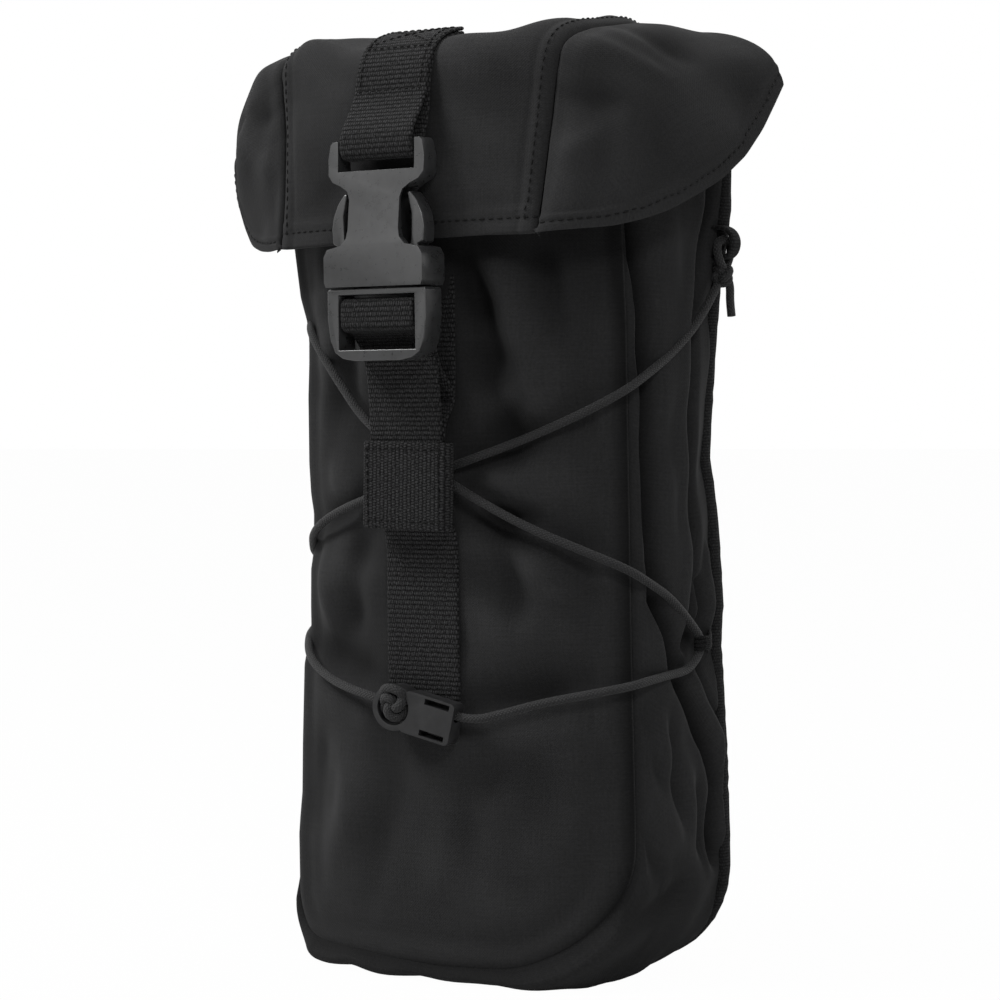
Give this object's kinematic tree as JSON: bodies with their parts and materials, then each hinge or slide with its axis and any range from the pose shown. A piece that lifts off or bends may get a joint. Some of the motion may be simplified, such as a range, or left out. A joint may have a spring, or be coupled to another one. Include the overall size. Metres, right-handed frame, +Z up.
{
  "type": "tactical utility pouch",
  "caption": "Tall black fabric pouch with a buckled flap lid, pleated sides, elastic cord lacing and a small cord hook on the front.",
  "frame": {"origin": "middle of the whole object's footprint, on the plane it stands on", "axes": "+Z up, -Y the front with the buckle, +X the viewer's right when facing the front"},
  "size_m": [0.161, 0.0926, 0.2772],
  "materials": {
    "pouch_fabric": "matte",
    "webbing": "matte",
    "elastic_cord": "matte",
    "moulded_plastic": "satin"
  },
  "bodies": {
    "pouch": {"front_panel": "pouch_fabric", "back_panel": "pouch_fabric", "left_gusset": "pouch_fabric", "right_gusset": "pouch_fabric", "bottom_gusset": "pouch_fabric", "mouth_binding": "webbing", "back_edge_binding": "webbing", "back_webbing_row_1": "webbing", "back_webbing_row_2": "webbing", "back_webbing_row_3": "webbing", "back_webbing_row_4": "webbing", "back_webbing_row_5": "webbing", "base_webbing": "webbing", "adjuster_strap": "webbing", "webbing_keeper": "webbing", "left_cord": "elastic_cord", "right_cord": "elastic_cord", "left_corner_loop": "webbing", "right_corner_loop": "webbing", "left_cord_knot": "elastic_cord", "right_cord_knot": "elastic_cord", "left_side_anchor": "webbing", "right_side_anchor": "webbing", "hook_knot": "elastic_cord"},
    "lid": {"lid_middle_panel": "pouch_fabric", "lid_left_wing": "pouch_fabric", "lid_right_wing": "pouch_fabric", "lid_strap": "webbing"},
    "buckle_upper": {"buckle_upper_half": "moulded_plastic"},
    "buckle_lower": {"buckle_lower_half": "moulded_plastic", "adjuster_loop": "webbing"},
    "prong_left": {"left_prong": "moulded_plastic"},
    "prong_right": {"right_prong": "moulded_plastic"},
    "hook": {"cord_hook": "moulded_plastic"}
  },
  "joints": [
    {"name": "lid_hinge", "type": "hinge", "parent": "pouch", "child": "lid", "pos_m": [0, 0.04515, 0.2622], "axis": [-1, 0, 0], "range_deg": [0, 150], "deforming": ["left_prong", "right_prong"]},
    {"name": "upper_buckle_swing", "type": "hinge", "parent": "lid", "child": "buckle_upper", "pos_m": [0, -0.04085, 0.24], "axis": [-1, 0, 0], "range_deg": [0, 90], "deforming": ["left_prong", "right_prong"]},
    {"name": "lower_buckle_swing", "type": "hinge", "parent": "pouch", "child": "buckle_lower", "pos_m": [0, -0.03185, 0.178], "axis": [1, 0, 0], "range_deg": [0, 60], "deforming": ["adjuster_loop", "adjuster_strap", "left_prong", "right_prong"]},
    {"name": "left_prong_squeeze", "type": "hinge", "parent": "buckle_lower", "child": "prong_left", "pos_m": [-0.0075, -0.04085, 0.2015], "axis": [0, 1, 0], "range_deg": [0, 6], "stiffness_Nm_per_rad": 0.3},
    {"name": "right_prong_squeeze", "type": "hinge", "parent": "buckle_lower", "child": "prong_right", "pos_m": [0.0075, -0.04085, 0.2015], "axis": [0, -1, 0], "range_deg": [0, 6], "stiffness_Nm_per_rad": 0.3},
    {"name": "hook_release", "type": "hinge", "parent": "pouch", "child": "hook", "pos_m": [0.01364, -0.02595, 0.07675], "axis": [0.225, 0, 0.9744], "range_deg": [0, 60], "deforming": ["hook_knot", "left_cord", "right_cord"]}
  ]
}
